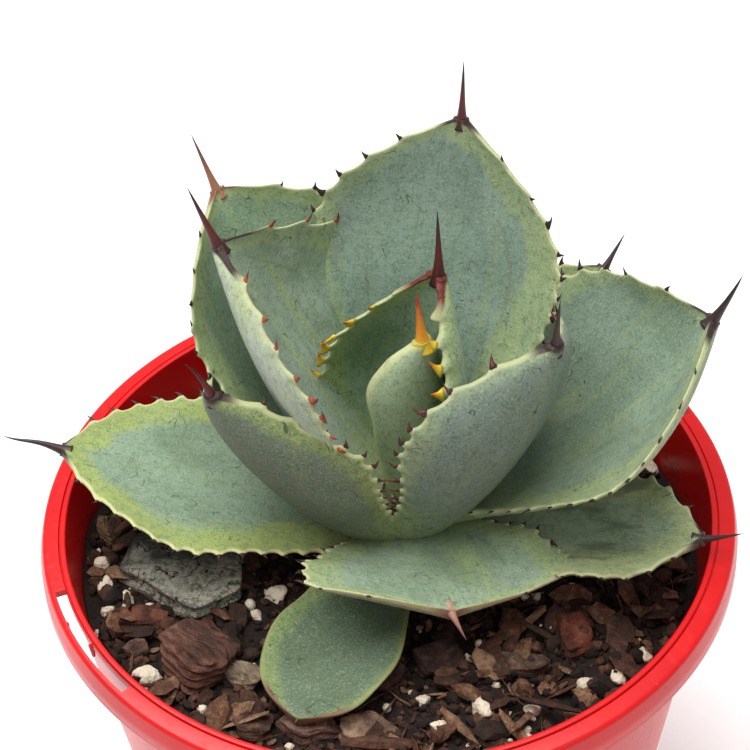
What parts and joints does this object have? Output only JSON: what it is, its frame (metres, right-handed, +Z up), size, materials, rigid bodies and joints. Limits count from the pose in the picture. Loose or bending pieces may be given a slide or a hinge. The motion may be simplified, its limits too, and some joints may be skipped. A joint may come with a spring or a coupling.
{
  "type": "potted agave",
  "caption": "Young agave rosette of broad cupped leaves with end spines, in bark and perlite mix, in a round tapered plastic pot with a rolled rim.",
  "frame": {"origin": "centre of the pot's flat underside, on the surface that the pot stands on", "axes": "+Z up along the pot's axis, +X to the right and +Y away from the side with the low front leaf"},
  "size_m": [0.1457, 0.14, 0.1921],
  "materials": {
    "pot_plastic": "gloss",
    "leaf_skin": "matte",
    "stem_tissue": "matte",
    "potting_mix": "matte",
    "mossy_bark": "matte",
    "pine_bark": "matte",
    "perlite": "matte"
  },
  "bodies": {
    "root": {"bark_chip_dark": "pine_bark", "bark_chip_front": "pine_bark", "bark_chip_left": "pine_bark", "bark_chip_middle": "pine_bark", "bark_chip_pale": "pine_bark", "bark_chip_red": "pine_bark", "bark_chip_rust": "pine_bark", "bark_chip_slim": "pine_bark", "bark_chip_small": "pine_bark", "bark_chip_tan": "pine_bark", "bark_cut_end": "pine_bark", "bark_lump": "pine_bark", "bark_right": "pine_bark", "bark_slab": "mossy_bark", "bark_smooth": "pine_bark", "bark_splinter": "pine_bark", "bark_upright": "pine_bark", "leaf_back": "leaf_skin", "leaf_back_left": "leaf_skin", "leaf_back_right": "leaf_skin", "leaf_front": "leaf_skin", "leaf_front_left": "leaf_skin", "leaf_front_right": "leaf_skin", "leaf_heart": "leaf_skin", "leaf_inner": "leaf_skin", "leaf_left": "leaf_skin", "leaf_low_back": "leaf_skin", "leaf_low_left": "leaf_skin", "leaf_low_right": "leaf_skin", "leaf_old": "leaf_skin", "leaf_right": "leaf_skin", "perlite_01": "perlite", "perlite_02": "perlite", "perlite_03": "perlite", "perlite_04": "perlite", "perlite_05": "perlite", "perlite_06": "perlite", "perlite_07": "perlite", "perlite_08": "perlite", "perlite_09": "perlite", "perlite_10": "perlite", "perlite_11": "perlite", "perlite_12": "perlite", "perlite_13": "perlite", "perlite_14": "perlite", "perlite_15": "perlite", "perlite_16": "perlite", "perlite_17": "perlite", "perlite_18": "perlite", "perlite_19": "perlite", "pot": "pot_plastic", "soil": "potting_mix", "stem": "stem_tissue"}
  },
  "joints": []
}
